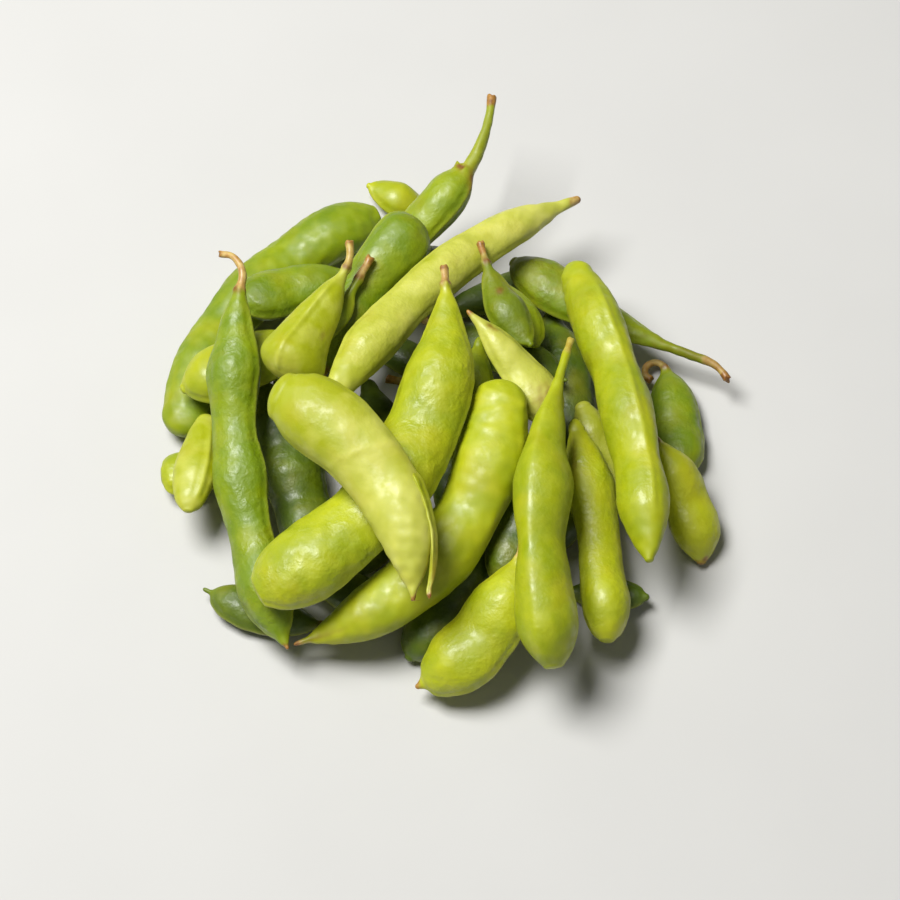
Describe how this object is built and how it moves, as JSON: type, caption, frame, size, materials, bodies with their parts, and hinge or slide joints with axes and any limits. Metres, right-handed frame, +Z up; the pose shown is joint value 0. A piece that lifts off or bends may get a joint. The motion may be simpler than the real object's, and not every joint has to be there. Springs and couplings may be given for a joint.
{
  "type": "edamame pod bundle",
  "caption": "Bundle of cooked green soybean pods lying loose in a low heap, long curved shells swollen over their beans, with thin stalks and pointed beaks",
  "frame": {"origin": "centre of the heap's footprint, on the surface that the lowest pods lie on", "axes": "+Z up, -Y towards the viewer of the heap's front, +X to that viewer's right"},
  "size_m": [0.1088, 0.118, 0.0376],
  "materials": {
    "pod_skin_pale": "cooked pod skin, pale yellow-green, moist satin with a fine pebbly surface",
    "pod_skin_bright": "cooked pod skin, bright yellow-green, moist satin with a fine pebbly surface",
    "pod_skin_green": "cooked pod skin, mid green, moist satin with a fine pebbly surface",
    "pod_skin_deep": "cooked pod skin, deep green, moist satin with a fine pebbly surface"
  },
  "bodies": {
    "root": {"base_pod_centre": "pod_skin_deep", "base_pod_back": "pod_skin_deep", "base_pod_right": "pod_skin_deep", "base_pod_middle": "pod_skin_deep", "base_pod_inner": "pod_skin_deep", "base_pod_back_right": "pod_skin_deep", "base_pod_front": "pod_skin_deep", "low_pod_front_left": "pod_skin_deep", "low_pod_front_right": "pod_skin_deep", "low_pod_front": "pod_skin_deep", "right_edge_back_pod": "pod_skin_green", "right_edge_front_pod": "pod_skin_bright", "left_edge_low_pod": "pod_skin_bright", "back_edge_pod": "pod_skin_bright", "right_long_stalk_pod": "pod_skin_green", "inner_pod_front": "pod_skin_deep", "inner_pod_left": "pod_skin_deep", "inner_pod_back": "pod_skin_deep", "inner_pod_centre": "pod_skin_green", "inner_pod_small": "pod_skin_green", "left_edge_curved_pod": "pod_skin_green", "left_edge_front_pod": "pod_skin_pale", "left_back_pod": "pod_skin_green", "left_cross_pod": "pod_skin_bright", "back_long_stalk_pod": "pod_skin_green", "back_round_end_pod": "pod_skin_green", "left_slim_pod": "pod_skin_green", "back_long_pod": "pod_skin_pale", "small_inner_pod": "pod_skin_green", "small_pointed_pod": "pod_skin_deep", "right_inner_pod": "pod_skin_pale", "front_short_pod": "pod_skin_bright", "right_slim_pod": "pod_skin_bright", "centre_pointed_pod": "pod_skin_pale", "right_long_pod": "pod_skin_bright", "left_long_pod": "pod_skin_green", "left_pointed_pod": "pod_skin_pale", "front_curved_pod": "pod_skin_bright", "centre_long_pod": "pod_skin_bright", "front_long_pod": "pod_skin_bright", "top_curved_pod": "pod_skin_pale"}
  },
  "joints": []
}
